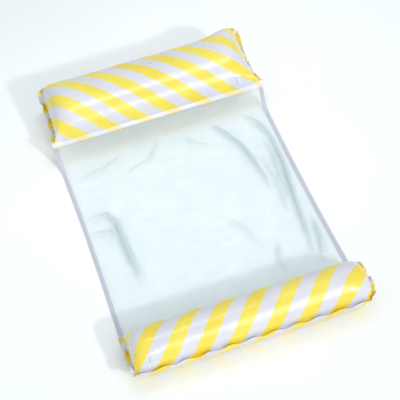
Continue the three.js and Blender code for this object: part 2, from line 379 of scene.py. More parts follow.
def corner_lift(pillow, points):
    """How far the curled corners of the film are lifted at each point."""
    far_y = weld_line(pillow)[0] + pillow.facing * (chamber_size(pillow)[0] + WELD_BORDER)
    near_y = fold_line(pillow)[0]
    outer_x = weld_x(pillow) + WELD_BORDER
    lift = np.zeros(points.shape[:-1])
    for side, is_far, height, radius in pillow.curls:
        away_x = points[..., 0] - side * outer_x
        away_y = points[..., 1] - (far_y if is_far else near_y)
        closeness = np.exp(-((np.hypot(away_x, away_y) / radius) ** 2))
        from_fold = np.abs(points[..., 1] - near_y)
        lift += height * closeness * smooth_step(from_fold, 0.0, WELD_BORDER)
    return lift


def curl_share(pillow, x, from_net):
    """1 at the curled far corners, falling to 0 away from them, for places on the square pattern."""
    share = np.zeros(x.shape)
    for side, is_far, _, radius in pillow.curls:
        if is_far:
            away = np.hypot(x * pillow.facing - side * FLAT_WIDTH / 2, from_net - pillow.flat_depth)
            share += np.exp(-((away / radius) ** 2))
    return share


def run_cloth(film, flat, chamber_vertices):
    """Lets Blender's cloth settle the film, which was cut flat, and gives the new places."""
    film.shape_key_add(name="blown_up")
    cut = film.shape_key_add(name="cut")
    cut.data.foreach_set("co", flat.astype(np.float32).ravel())
    cut.value = 0
    group = film.vertex_groups.new(name="air_chamber")
    group.add([int(v) for v in chamber_vertices], 1.0, "REPLACE")
    modifier = film.modifiers.new("film", "CLOTH")
    cloth = modifier.settings
    cloth.rest_shape_key = cut
    cloth.quality = 6
    cloth.mass = 0.1
    cloth.air_damping = 2
    cloth.tension_stiffness = 60
    cloth.compression_stiffness = 60
    cloth.shear_stiffness = 30
    cloth.bending_stiffness = 0.3
    cloth.tension_damping = 5
    cloth.compression_damping = 5
    cloth.shear_damping = 5
    cloth.bending_damping = 0.5
    cloth.use_pressure = True
    cloth.uniform_pressure_force = 4
    cloth.vertex_group_pressure = group.name
    cloth.effector_weights.gravity = 0
    modifier.collision_settings.use_collision = False
    modifier.collision_settings.use_self_collision = False
    modifier.point_cache.frame_start = 1
    modifier.point_cache.frame_end = CLOTH_FRAMES
    scene.frame_start = 1
    scene.frame_end = CLOTH_FRAMES
    for number in range(1, CLOTH_FRAMES + 1):
        scene.frame_set(number)
    depsgraph = bpy.context.evaluated_depsgraph_get()
    blown = film.evaluated_get(depsgraph).data
    places = np.zeros(len(blown.vertices) * 3, np.float32)
    blown.vertices.foreach_get("co", places)
    scene.frame_set(1)
    return places.reshape(-1, 3).astype(float)


def blow_up(pillow):
    """Grids of points of the upper and the lower film after the cloth has wrinkled them."""
    flat_x, flat_y = flat_pattern(pillow)
    smooth_upper, smooth_lower = smooth_pillow(pillow)
    inner = np.zeros(flat_x.shape, bool)
    edge = BORDER_CELLS + 1
    inner[edge:-edge, edge:-edge] = True
    noise = np.random.default_rng(pillow.seed).normal(0, UNEVENNESS, flat_x.shape)
    upper_index = np.arange(flat_x.size).reshape(flat_x.shape)
    lower_index = upper_index.copy()
    lower_index[inner] = flat_x.size + np.arange(inner.sum())
    chamber = (slice(BORDER_CELLS, -BORDER_CELLS),) * 2
    faces = np.concatenate([grid_faces(upper_index), grid_faces(lower_index[chamber])[:, ::-1]])
    start = np.concatenate([smooth_upper.reshape(-1, 3), smooth_lower[inner]])
    start[: flat_x.size, 2] += noise.ravel()
    flat = np.stack([flat_x, flat_y, np.zeros_like(flat_x)], axis=-1)
    flat = np.concatenate([flat.reshape(-1, 3), flat[inner]])
    film = new_object(pillow.name + "_blank", start, faces)
    chamber_vertices = np.unique(np.concatenate([upper_index[chamber].ravel(), lower_index[inner]]))
    places = run_cloth(film, flat, chamber_vertices)
    bpy.data.objects.remove(film)
    grids = []
    for smooth, index in ((smooth_upper, upper_index), (smooth_lower, lower_index)):
        moved = places[index] - smooth
        wrinkles = moved - steadied(moved, STEADY_PASSES)
        size = np.linalg.norm(wrinkles, axis=-1, keepdims=True)
        wrinkles *= DEEPEST_WRINKLE * np.tanh(size / DEEPEST_WRINKLE) / np.maximum(size, 1e-9)
        wrinkles *= near_welds(pillow, flat_x, flat_y)[..., None]
        wrinkles[:BORDER_CELLS] = 0  # the net holds the border beside it straight
        grid = smooth + wrinkles
        grid[..., 2] = np.maximum(grid[..., 2], FILM)
        grids.append(grid)
    return grids


def near_welds(pillow, flat_x, flat_y):
    """1 at the welds, fading to MIDDLE_WRINKLES in the tight middle of the film."""
    from_end = FLAT_WIDTH / 2 - np.abs(flat_x)
    from_side = pillow.flat_depth / 2 - np.abs(flat_y)
    fading = smooth_step(np.minimum(from_end, from_side), 0.0, WRINKLE_REACH)
    return 1 - (1 - MIDDLE_WRINKLES) * fading


def steadied(grid, passes):
    """A grid of points with its short waves smoothed away."""
    for _ in range(passes):
        for axis in (0, 1):
            turned = np.moveaxis(grid, axis, 0)
            padded = np.concatenate([turned[:1], turned, turned[-1:]])
            grid = np.moveaxis((padded[:-2] + 2 * padded[1:-1] + padded[2:]) / 4, 0, axis)
    return grid


def film_object(pillow, name, grid, material, turned_down):
    """One of a pillow's films, rounded between the points of its grid and given its thickness."""
    x, y = flat_pattern(pillow)
    flat = np.stack([pillow.facing * x, y + pillow.flat_depth / 2], axis=-1).reshape(-1, 2)
    index = np.arange(x.size).reshape(x.shape)
    faces = grid_faces(index)
    if turned_down:
        faces = faces[:, ::-1]
    film = new_object(name, grid.reshape(-1, 3), faces, material)
    set_uv(film, flat)
    crease_welds(film, index)
    rounding = film.modifiers.new("fine_surface", "SUBSURF")
    rounding.levels = 2
    rounding.render_levels = 2
    thickness = film.modifiers.new("film_thickness", "SOLIDIFY")
    thickness.thickness = FILM
    thickness.offset = 1
    return shade_smooth(apply_modifiers(film))


def crease_welds(film, index):
    """Keeps the fold along the weld sharp when the surface is subdivided."""
    first, last = BORDER_CELLS, -BORDER_CELLS - 1
    inner = index[first : last + 1 or None, first : last + 1 or None]
    loop = np.concatenate([inner[0], inner[1:, -1], inner[-1, -2::-1], inner[-2:0:-1, 0]])
    pairs = {frozenset(pair) for pair in zip(loop.tolist(), np.roll(loop, -1).tolist())}
    creases = film.data.attributes.new("crease_edge", "FLOAT", "EDGE")
    values = [WELD_SHARPNESS if frozenset(edge.vertices) in pairs else 0.0 for edge in film.data.edges]
    creases.data.foreach_set("value", values)


def make_pillow(pillow, upper_material, lower_material):
    """Makes both films, which share the border round the air chamber, and gives the upper one."""
    upper, lower = blow_up(pillow)
    inside = slice(BORDER_CELLS + 1, -BORDER_CELLS - 1)
    upper[inside, inside] = flattened_at_valve(pillow, upper[inside, inside])
    border = np.ones(upper.shape[:2], bool)
    border[inside, inside] = False
    lower[border] = upper[border]
    upper_film = film_object(pillow, pillow.name + "_upper_film", upper, upper_material, False)
    lower_film = film_object(pillow, pillow.name + "_lower_film", lower, lower_material, True)
    cut_valve_hole(pillow, upper_film)
    for film, node in ((upper_film, "_upper_panel"), (lower_film, "_lower_panel")):
        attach(film, pillow.name)
        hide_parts(pillow.name + node)
    return upper_film


# ---------------------------------------------------------------- the valves

TETHER_FOLD = 0.014  # from the valve's axis to the line where its plug's tether folds
FOLD_HEIGHT = 0.00275  # of that line above the film
FLAT_RADIUS = 0.018  # the film is flat this far out from the valve's axis
SLOPE_RADIUS = 0.034  # and has its own shape again from here
NEAR_SIDE = 0.03  # film further than this from the valve's plane is on the pillow's other side

# Radii, and heights above the film along the valve's axis.
DISC_RADIUS = 0.014
DISC_THICKNESS = 0.001
HOLE_RADIUS = 0.0056
BORE_RADIUS = 0.0030
STEM_RADIUS = 0.0050
STEM_END = -0.0110
LIP_RADIUS = 0.0064
LIP_UNDERSIDE = 0.0016
LIP_TOP = 0.0026
FLAP_RADIUS = 0.0044
FLAP_TOP = -0.0113
FLAP_THICKNESS = 0.0006
SHANK_END = -0.0016
SHANK_END_RADIUS = 0.0023
SHANK_RADIUS = 0.0027
CAP_RADIUS = 0.0056
CAP_UNDERSIDE = 0.0029
CAP_TOP = 0.0043
TETHER_WIDTH = 0.0036
TETHER_THICKNESS = 0.0005
ROUND_STEPS = 4  # on each rounded corner of a profile
LONGEST_ROUNDING = 0.45  # share of an edge that one rounded corner may take
TURNED_SIDES = 64


def valve_frame(pillow):
    """A pillow's valve's place: X runs along the pillow, Y up it and Z straight out of the film."""
    out = Vector(JOINTS[pillow.name + "_valve_push"]["axis"]).normalized()
    along = -Vector(JOINTS[pillow.name + "_plug_swing"]["axis"]).normalized()
    up = out.cross(along)
    hinge = Vector(JOINTS[pillow.name + "_plug_swing"]["pos_m"])
    centre = hinge - TETHER_FOLD * up - FOLD_HEIGHT * out
    columns = (along.to_4d(), up.to_4d(), out.to_4d(), centre.to_4d())
    frame_matrix = Matrix(columns).transposed()
    for column in range(3):
        frame_matrix[3][column] = 0
    return frame_matrix


def flattened_at_valve(pillow, points):
    """The film's points drawn onto a flat round the valve, where the stiff disc holds it."""
    place = np.array(valve_frame(pillow))
    local = (points - place[:3, 3]) @ place[:3, :3]
    from_axis = np.hypot(local[..., 0], local[..., 1])
    near_valve = 1 - smooth_step(from_axis, FLAT_RADIUS, SLOPE_RADIUS)
    near_valve *= np.abs(local[..., 2]) < NEAR_SIDE
    local[..., 2] *= 1 - near_valve
    return local @ place[:3, :3].T + place[:3, 3]


def cut_valve_hole(pillow, film):
    """Cuts the round hole that the valve's stem passes through."""
    depth = 0.008
    profile = [(0, -depth), (HOLE_RADIUS, -depth), (HOLE_RADIUS, depth), (0, depth)]
    cutter = turned(pillow.name + "_hole_cutter", profile, None, valve_frame(pillow))
    cut = film.modifiers.new("valve_hole", "BOOLEAN")
    cut.operation = "DIFFERENCE"
    cut.solver = "MANIFOLD"
    cut.object = cutter
    apply_modifiers(film)
    bpy.data.objects.remove(cutter)


def rounded(profile, radius, closed=False):
    """A profile with its corners rounded, except its two ends where it isn't closed."""
    points = [np.array(p, float) for p in profile]
    count = len(points)
    result = []
    for number, corner in enumerate(points):
        if not closed and number in (0, count - 1):
            result.append(corner)
            continue
        before = points[number - 1] - corner
        after = points[(number + 1) % count] - corner
        first = corner + before * min(radius / np.linalg.norm(before), LONGEST_ROUNDING)
        last = corner + after * min(radius / np.linalg.norm(after), LONGEST_ROUNDING)
        for t in np.linspace(0, 1, ROUND_STEPS + 1):
            result.append(first * (1 - t) ** 2 + 2 * corner * t * (1 - t) + last * t**2)
    return result


def turned(name, profile, material, place, closed=False):
    """A solid of revolution about local Z. An open profile starts and ends on the axis."""
    angles = np.linspace(0, 2 * np.pi, TURNED_SIDES, endpoint=False)
    points = []
    rings = []
    for radius, height in profile:
        on_axis = radius < 1e-9
        turns = angles[:1] if on_axis else angles
        rings.append([len(points) + k for k in range(len(turns))])
        points += [(radius * math.cos(a), radius * math.sin(a), height) for a in turns]
    faces = []
    pairs = list(zip(rings, rings[1:] + rings[:1])) if closed else list(zip(rings, rings[1:]))
    for low, high in pairs:
        for k in range(TURNED_SIDES):
            corners = ((low, k), (low, k + 1), (high, k + 1), (high, k))
            face = [ring[turn % len(ring)] for ring, turn in corners]
            faces.append(tuple(dict.fromkeys(face)))  # three corners where a ring is one point
    solid = new_object(name, points, faces, material)
    solid.data.transform(place)
    return shade_smooth(solid)


def make_disc(pillow, film, material):
    """The clear disc that is welded to the film round the stem, thin at its rim."""
    place = valve_frame(pillow)
    to_local = place.inverted()
    surface = BVHTree.FromObject(film, bpy.context.evaluated_depsgraph_get())
    out = place.to_3x3().col[2]
    rim_width = 0.0032
    step_width = 0.0008
    profile = [
        (HOLE_RADIUS, 0.0),
        (DISC_RADIUS, 0.0),
        (DISC_RADIUS, DISC_THICKNESS * 0.4),
        (DISC_RADIUS - rim_width, DISC_THICKNESS * 0.7),
        (DISC_RADIUS - rim_width - step_width, DISC_THICKNESS),
        (HOLE_RADIUS, DISC_THICKNESS),
    ]
    profile = rounded(profile, radius=0.0003, closed=True)
    disc = turned(pillow.name + "_clear_disc", profile, material, Matrix(), closed=True)
    off_edge = 1.02  # keeps the rays clear of the hole's edge
    ray_height, ray_length = 0.006, 0.02
    for vertex in disc.data.vertices:
        start = place @ Vector((vertex.co.x * off_edge, vertex.co.y * off_edge, ray_height))
        hit = surface.ray_cast(start, -out, ray_length)[0]
        film_height = (to_local @ hit).z if hit else 0.0
        vertex.co.z += film_height
    disc.data.transform(place)
    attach(disc, pillow.name)
    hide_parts(pillow.name + "_valve_disc")
    return disc


def make_stem(pillow, material):
    """A tube with a lip, open at both ends."""
    profile = [
        (BORE_RADIUS, STEM_END),
        (STEM_RADIUS, STEM_END),
        (STEM_RADIUS, LIP_UNDERSIDE),
        (LIP_RADIUS, LIP_UNDERSIDE),
        (LIP_RADIUS, LIP_TOP),
        (BORE_RADIUS, LIP_TOP),
    ]
    profile = rounded(profile, radius=0.0004, closed=True)
    stem = turned(pillow.name + "_stem", profile, material, valve_frame(pillow), closed=True)
    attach(stem, pillow.name + "_valve")
    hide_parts(pillow.name + "_valve_stem")
    return stem


def make_flap(pillow, material):
    """The disc that closes the stem's inner end."""
    bottom = FLAP_TOP - FLAP_THICKNESS
    profile = [(0, bottom), (FLAP_RADIUS, bottom), (FLAP_RADIUS, FLAP_TOP), (0, FLAP_TOP)]
    profile = rounded(profile, radius=0.0002)
    flap = turned(pillow.name + "_flap", profile, material, valve_frame(pillow))
    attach(flap, pillow.name + "_flap")
    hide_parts(pillow.name + "_valve_flap")
    return flap


def make_plug(pillow, material):
    """A domed cap on a tapered shank."""
    dome = 0.0002
    bevel_width, bevel_height = 0.0010, 0.0004
    profile = [
        (0, SHANK_END),
        (SHANK_END_RADIUS, SHANK_END),
        (SHANK_RADIUS, CAP_UNDERSIDE),
        (CAP_RADIUS, CAP_UNDERSIDE),
        (CAP_RADIUS, CAP_TOP - dome - bevel_height),
        (CAP_RADIUS - bevel_width, CAP_TOP - dome),
        (0, CAP_TOP),
    ]
    profile = rounded(profile, radius=0.0005)
    plug = turned(pillow.name + "_plug_cap", profile, material, valve_frame(pillow))
    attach(plug, pillow.name + "_plug")
    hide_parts(pillow.name + "_valve_plug")
    return plug


def make_tether(pillow, material):
    """The strap from the stem's lip out to its fold and back to the plug's cap."""
    lower, upper = 0.0023, 0.0032  # heights of its two runs
    lip_edge, cap_edge = 0.0058, 0.0050  # where they start on the lip and end on the cap
    fold_radius = (upper - lower) / 2
    turn_at = TETHER_FOLD - fold_radius
    run_points, turn_points = 7, 9
    line = [(y, lower) for y in np.linspace(lip_edge, turn_at, run_points)]
    for angle in np.linspace(-np.pi / 2, np.pi / 2, turn_points)[1:-1]:
        z = (lower + upper) / 2 + fold_radius * math.sin(angle)
        line.append((turn_at + fold_radius * math.cos(angle), z))
    line += [(y, upper) for y in np.linspace(turn_at, cap_edge, run_points)]
    line = np.array(line)
    normal = np.gradient(line, axis=0)
    normal = unit_rows(np.stack([-normal[:, 1], normal[:, 0]], axis=1))
    corners = [(-1, -1), (1, -1), (1, 1), (-1, 1)]
    section = [(a * TETHER_WIDTH / 2, b * TETHER_THICKNESS / 2) for a, b in corners]
    section = rounded(section, radius=0.0002, closed=True)
    rows = []
    for (y, z), (normal_y, normal_z) in zip(line, normal):
        rows.append([(x, y + h * normal_y, z + h * normal_z) for x, h in section])
    tether = swept(pillow.name + "_tether", rows, material)
    place = valve_frame(pillow)
    tether.data.transform(place)
    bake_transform(tether)
    return tether


def tube_faces(first, ring, count):
    """The faces of a tube of count rings of points, numbered from first, and of its flat ends."""
    last = first + ring * (count - 1)
    faces = [tuple(range(first, first + ring)), tuple(range(last, last + ring))[::-1]]
    for start in range(first, last, ring):
        for k in range(ring):
            following = (k + 1) % ring
            faces.append((start + k, start + ring + k, start + ring + following, start + following))
    return faces


def swept(name, rows, material):
    """A closed solid from rings of points, with flat ends."""
    points = [p for row in rows for p in row]
    return shade_smooth(new_object(name, points, tube_faces(0, len(rows[0]), len(rows)), material))


def make_valve(pillow, film, material):
    pieces = [
        make_disc(pillow, film, material),
        make_stem(pillow, material),
        make_flap(pillow, material),
        make_plug(pillow, material),
        make_tether(pillow, material),
    ]


# ---------------------------------------------------------------- materials


class Nodes:
    """A material's node tree with short calls for the few nodes used here."""

    def __init__(self, name):
        self.material = bpy.data.materials.new(name)
        self.material.use_nodes = True
        self.tree = self.material.node_tree
        self.shader = self.tree.nodes["Principled BSDF"]
        self.output = self.tree.nodes["Material Output"]

    def link(self, source, target):
        if isinstance(source, bpy.types.NodeSocket):
            self.tree.links.new(source, target)
        else:
            target.default_value = source

    def math(self, operation, *values):
        node = self.tree.nodes.new("ShaderNodeMath")
        node.operation = operation
        for value, socket in zip(values, node.inputs):
            self.link(value, socket)
        return node.outputs[0]

    def ramp(self, value, start, end, low=0.0, high=1.0):
        """low where value is under start, high where it is over end, and smooth between."""
        node = self.tree.nodes.new("ShaderNodeMapRange")
        node.interpolation_type = "SMOOTHSTEP"
        for source, key in zip((value, start, end, low, high), range(5)):
            self.link(source, node.inputs[key])
        return node.outputs[0]

    def mix(self, share, first, second):
        node = self.tree.nodes.new("ShaderNodeMix")
        node.data_type = "RGBA"
        self.link(share, node.inputs["Factor"])
        self.link(first, node.inputs[6])
        self.link(second, node.inputs[7])
        return node.outputs[2]

    def noise(self, scale, detail=2.0):
        node = self.tree.nodes.new("ShaderNodeTexNoise")
        node.inputs["Scale"].default_value = scale
        node.inputs["Detail"].default_value = detail
        place = self.tree.nodes.new("ShaderNodeTexCoord")
        self.link(place.outputs["Object"], node.inputs["Vector"])
        return node.outputs["Fac"]

    def colour(self, share, first, second):
        """Colours the surface from first, where share is 0, to second, where it is 1."""
        self.link(self.mix(share, first, second), self.shader.inputs["Base Color"])

    def roughness(self, patches, low, high):
        """Lets the roughness vary between low and high over a noise's patches."""
        self.link(self.ramp(patches, 0.3, 0.7, low, high), self.shader.inputs["Roughness"])

    def flat_place(self):
        """(u, v) on the flat cut, in metres."""
        uv = self.tree.nodes.new("ShaderNodeUVMap")
        uv.uv_map = "flat_cut"
        parts = self.tree.nodes.new("ShaderNodeSeparateXYZ")
        self.link(uv.outputs[0], parts.inputs[0])
        return parts.outputs[0], parts.outputs[1]

    def vertex_value(self, name):
        """A value kept on the mesh's vertices, or 0 on a mesh that doesn't have it."""
        node = self.tree.nodes.new("ShaderNodeAttribute")
        node.attribute_name = name
        return node.outputs["Fac"]

    def bump(self, height, strength, distance):
        node = self.tree.nodes.new("ShaderNodeBump")
        node.inputs["Strength"].default_value = strength
        node.inputs["Distance"].default_value = distance
        self.link(height, node.inputs["Height"])
        self.link(node.outputs[0], self.shader.inputs["Normal"])

    def see_through(self, cover):
        """Lets what is behind show where cover is under 1."""
        clear = self.tree.nodes.new("ShaderNodeBsdfTransparent")
        blend = self.tree.nodes.new("ShaderNodeMixShader")
        self.link(cover, blend.inputs[0])
        self.link(clear.outputs[0], blend.inputs[1])
        self.link(self.shader.outputs[0], blend.inputs[2])
        self.link(blend.outputs[0], self.output.inputs[0])


YELLOW = (0.86, 0.70, 0.085, 1)
DEEP_YELLOW = (0.82, 0.62, 0.045, 1)
BORDER_YELLOW = (0.78, 0.55, 0.02, 1)
WHITE = (0.69, 0.665, 0.71, 1)
COOL_WHITE = (0.64, 0.62, 0.685, 1)
PALE_FILM = (0.90, 0.89, 0.90, 1)
KNURL_PITCH = 0.0016  # of the small pattern that the welding tool leaves on the border
NET_PITCH = 0.0030
RIB_PITCH = 0.0011
PRINT_WAVER = 0.0012  # how far the stripes' printed edges wander
PRINT_EDGE = 0.007  # softness of those edges, as a share of the stripes' pitch


def printed_film(name, pillow, slant, start):
    """Glossy vinyl film printed with slanting stripes. The welded border lets a little light through
    and is paler beside the net."""
    nodes = Nodes(name)
    u, v = nodes.flat_place()
    waver = nodes.math("MULTIPLY", nodes.math("SUBTRACT", nodes.noise(60.0), 0.5), PRINT_WAVER)
    across = nodes.math("ADD", nodes.math("MULTIPLY_ADD", v, slant, u), waver)
    turns = nodes.math("DIVIDE", nodes.math("SUBTRACT", across, start), pillow.stripe_pitch)
    from_middle = nodes.math("PINGPONG", turns, 0.5)
    yellow_share = nodes.ramp(from_middle, 0.25 - PRINT_EDGE, 0.25 + PRINT_EDGE, 1.0, 0.0)
    tone = nodes.ramp(nodes.noise(9.0, 3.0), 0.35, 0.65)
    beyond_end = nodes.math("SUBTRACT", nodes.math("ABSOLUTE", u), FLAT_WIDTH / 2)
    from_centre = nodes.math("ABSOLUTE", nodes.math("SUBTRACT", v, pillow.flat_depth / 2))
    beyond_side = nodes.math("SUBTRACT", from_centre, pillow.flat_depth / 2)
    beyond = nodes.math("MAXIMUM", beyond_end, beyond_side)
    border = nodes.ramp(beyond, 0.0, 0.0008)
    yellow = nodes.mix(border, nodes.mix(tone, YELLOW, DEEP_YELLOW), BORDER_YELLOW)
    white = nodes.mix(tone, WHITE, COOL_WHITE)
    colour = nodes.mix(yellow_share, white, yellow)
    beside_net = nodes.ramp(v, -0.0008, 0.0, 0.45, 0.0)
    nodes.colour(beside_net, colour, PALE_FILM)
    nodes.roughness(nodes.noise(35.0, 4.0), 0.27, 0.35)
    nodes.shader.inputs["IOR"].default_value = 1.53
    nodes.shader.inputs["Coat Weight"].default_value = 0.35
    nodes.shader.inputs["Coat Roughness"].default_value = 0.22
    knurls = [nodes.math("SINE", nodes.math("MULTIPLY", way, 2 * math.pi / KNURL_PITCH)) for way in (u, v)]
    knurl = nodes.math("MULTIPLY", nodes.math("MULTIPLY", *knurls), border)
    soft_waves = nodes.math("MULTIPLY", nodes.noise(28.0, 2.0), 6.0)
    grain = nodes.math("MULTIPLY", nodes.noise(900.0, 1.0), 0.25)
    height = nodes.math("MULTIPLY_ADD", knurl, 0.5, nodes.math("ADD", soft_waves, grain))
    nodes.bump(height, 0.25, 0.0002)
    nodes.see_through(nodes.ramp(border, 0.0, 1.0, 1.0, 0.92))
    return nodes.material


def clear_plastic():
    """Soft clear vinyl, a little milky."""
    nodes = Nodes("clear_pvc")
    tint = nodes.ramp(nodes.noise(120.0), 0.3, 0.7)
    nodes.colour(tint, (0.86, 0.90, 0.94, 1), (0.93, 0.95, 0.97, 1))
    nodes.roughness(nodes.noise(300.0), 0.06, 0.16)
    nodes.shader.inputs["IOR"].default_value = 1.53
    nodes.shader.inputs["Coat Weight"].default_value = 0.5
    nodes.bump(nodes.noise(400.0), 0.1, 0.0002)
    nodes.see_through(nodes.ramp(nodes.noise(80.0), 0.0, 1.0, 0.45, 0.65))
    return nodes.material


def net_weave():
    """White threads with square holes between them, closed up where the net is gathered and painted greyer
    there, as shade in its creases.
    """
    nodes = Nodes("net_weave")
    u, v = nodes.flat_place()
    waves = [nodes.math("COSINE", nodes.math("MULTIPLY", way, 2 * math.pi / NET_PITCH)) for way in (u, v)]
    thread = nodes.math("MAXIMUM", *waves)
    gathered = nodes.vertex_value("gathered")
    open_cover = nodes.math("MULTIPLY_ADD", gathered, 0.50, 0.02)
    cover = nodes.ramp(thread, 0.76, 0.94, open_cover, 0.80)
    tone = nodes.ramp(nodes.noise(14.0, 3.0), 0.3, 0.7)
    unshaded_threads = nodes.mix(tone, (0.83, 0.93, 0.95, 1), (0.91, 0.96, 0.965, 1))
    # Painted shade: the threads are coloured darker and greyer where the net is gathered in its creases.
    nodes.colour(gathered, unshaded_threads, (0.66, 0.78, 0.81, 1))
    nodes.roughness(nodes.noise(400.0), 0.5, 0.7)
    nodes.shader.inputs["Sheen Weight"].default_value = 0.15
    nodes.bump(thread, 0.5, 0.0004)
    nodes.see_through(cover)
    return nodes.material


def woven_tape():
    """A twill of fine slanting ribs, painted darker in the grooves between them as shade."""
    nodes = Nodes("woven_tape")
    u, v = nodes.flat_place()
    rib_turns = nodes.math("MULTIPLY", nodes.math("ADD", u, v), 2 * math.pi / RIB_PITCH)
    cross_turns = nodes.math("MULTIPLY", nodes.math("SUBTRACT", u, v), math.pi / RIB_PITCH)
    weave = nodes.math("MULTIPLY_ADD", nodes.math("SINE", cross_turns), 0.4, nodes.math("SINE", rib_turns))
    # Painted shade: the colour follows the ribs' height, darker in their grooves and lighter on their
    # crests.
    nodes.colour(nodes.ramp(weave, -1.2, 1.2), (0.52, 0.52, 0.63, 1), (0.69, 0.68, 0.77, 1))
    nodes.roughness(nodes.noise(200.0), 0.65, 0.85)
    nodes.shader.inputs["Sheen Weight"].default_value = 0.3
    nodes.bump(weave, 0.6, 0.0003)
    return nodes.material


def sewing_thread():
    nodes = Nodes("sewing_thread")
    twist = nodes.noise(1500.0, 1.0)
    nodes.colour(twist, (0.70, 0.72, 0.80, 1), (0.88, 0.89, 0.93, 1))
    nodes.roughness(twist, 0.5, 0.7)
    nodes.bump(twist, 0.3, 0.0002)
    return nodes.material


def matte_floor():
    nodes = Nodes("floor")
    tone = nodes.ramp(nodes.noise(3.0, 3.0), 0.3, 0.7)
    nodes.colour(tone, (0.95, 0.95, 0.95, 1), (0.97, 0.97, 0.97, 1))
    nodes.shader.inputs["Roughness"].default_value = 0.9
    return nodes.material


# ---------------------------------------------------------------- the net

NET_THICKNESS = 0.0006
NET_LIFT = 0.0015  # the net's middle line lies this far above the floor, within its bindings
NET_DROP_RUN = 0.048  # how far along the floor the net takes to come down from a pillow
NET_CORNER_RUN = 0.004  # the corner that this curve rounds off lies this far from the fold
HINGE_GAP = 0.0018  # from the fold line to the net
NET_WAIST = 0.005  # each side of the net draws in this far at its middle
NET_STEP = 0.0042  # between the grid lines of the net's mesh
WAVE_COUNT = 14
WAVE_HEIGHT = 0.00028
WAVE_LENGTHS = (0.035, 0.12)  # the shortest and the longest
TAPE_WIDTH = 0.011
TAPE_HALF_THICKNESS = 0.0011
HEM_WIDTH = 0.010  # of the net's end under a pillow's border
STITCH_PITCH = 0.0042
STITCH_LENGTH = 0.0031
STITCH_RADIUS = 0.00028
STITCH_SINK = 1.4  # how far its ends sink into the cloth, in radii
STITCHES_INSET = 0.0022  # from the tape's inner edge to its row of stitches
SEAM_ROWS = (0.0030, 0.0065)  # from a fold to the rows of stitches on the pillow's border
TAPE_CLEARANCE = 0.00005  # between the net and the tape that is folded round it
NET_END_POINTS = 17  # along the net's curve beside each pillow
HEM_ROWS = 8  # of the hem's mesh on each side of the fold
HEM_OVERLAP = 5  # points of the net's line that the hem also lies along
HEM_MARGIN = 0.003  # the hem ends this far inside the net's side edges

GATHER_REACH = 1.2  # how far out from a crest the net is gathered and painted darker, as a share of the crease's width
GATHERED_HEIGHT = 0.016  # creases at least this high are gathered the most and painted darkest

# Creases that stand up in the net, as the lines that they follow, their height and their width.
CREASES = (
    (((0.150, 0.330), (0.180, 0.270), (0.212, 0.190), (0.226, 0.110), (0.238, -0.010)), 0.016, 0.0065),
    (
        ((0.255, 0.330), (0.290, 0.270), (0.310, 0.190), (0.304, 0.060), (0.285, -0.100), (0.265, -0.310)),
        0.019,
        0.0075,
    ),
    (((0.285, 0.190), (0.288, 0.120), (0.276, 0.020), (0.272, -0.080)), 0.009, 0.006),
    (((0.255, 0.120), (0.262, 0.000), (0.250, -0.130)), 0.007, 0.008),
    (((0.306, -0.190), (0.300, -0.270), (0.282, -0.340)), 0.013, 0.008),
    (((-0.300, 0.075), (-0.256, 0.072), (-0.236, 0.030), (-0.236, -0.060), (-0.225, -0.220)), 0.017, 0.010),
    (((-0.305, 0.010), (-0.262, 0.000), (-0.238, -0.040)), 0.010, 0.009),
    (((0.070, -0.090), (0.110, -0.150), (0.130, -0.230)), 0.005, 0.010),
    (((-0.020, 0.320), (-0.070, 0.250), (-0.150, 0.220)), 0.006, 0.008),
    (((0.060, 0.310), (0.080, 0.260), (0.130, 0.225)), 0.006, 0.008),
    (((-0.310, 0.250), (-0.230, 0.262), (-0.150, 0.300)), 0.007, 0.009),
    (((0.180, -0.240), (0.165, -0.300), (0.168, -0.345)), 0.008, 0.007),
)


def net_path():
    """The net's middle line as (y, z) rows, from the headrest down, along the floor and up again."""
    floor_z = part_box("left_binding")[0].z + NET_LIFT
    ends = []
    for pillow in PILLOWS:
        fold_y, fold_z = fold_line(pillow)
        start = np.array([fold_y, fold_z - HINGE_GAP])
        corner = np.array([fold_y - pillow.facing * NET_CORNER_RUN, floor_z])
        landing = np.array([fold_y - pillow.facing * NET_DROP_RUN, floor_z])
        t = np.linspace(0, 1, NET_END_POINTS)[:, None]
        ends.append(start * (1 - t) ** 2 + 2 * corner * t * (1 - t) + landing * t**2)
    head, foot = ends
    steps = round((head[-1, 0] - foot[-1, 0]) / NET_STEP)
    floor = np.linspace(head[-1], foot[-1], steps + 1)
    return np.concatenate([head, floor[1:-1], foot[::-1]])


def net_half_width(y):
    """Half the net's width inside its bindings: widest at the pillows."""
    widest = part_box("right_binding")[1].x - TAPE_HALF_THICKNESS
    foot_y, head_y = fold_line(FOOTREST)[0], fold_line(HEADREST)[0]
    share = (y - foot_y) / (head_y - foot_y)
    return widest - NET_WAIST * np.sin(np.pi * share)


def distance_to_line(x, y, line):
    """(distance to a line of points, share of its length at the nearest place) for each x and y."""
    line = np.array(line)
    lengths = np.linalg.norm(np.diff(line, axis=0), axis=1)
    nearest = np.full(x.shape, np.inf)
    share = np.zeros(x.shape)
    before = 0.0
    for start, end, length in zip(line, line[1:], lengths):
        direction = (end - start) / length
        along = np.clip((x - start[0]) * direction[0] + (y - start[1]) * direction[1], 0, length)
        away = np.hypot(x - start[0] - along * direction[0], y - start[1] - along * direction[1])
        closer = away < nearest
        nearest = np.where(closer, away, nearest)
        share = np.where(closer, (before + along) / lengths.sum(), share)
        before += length
    return nearest, share


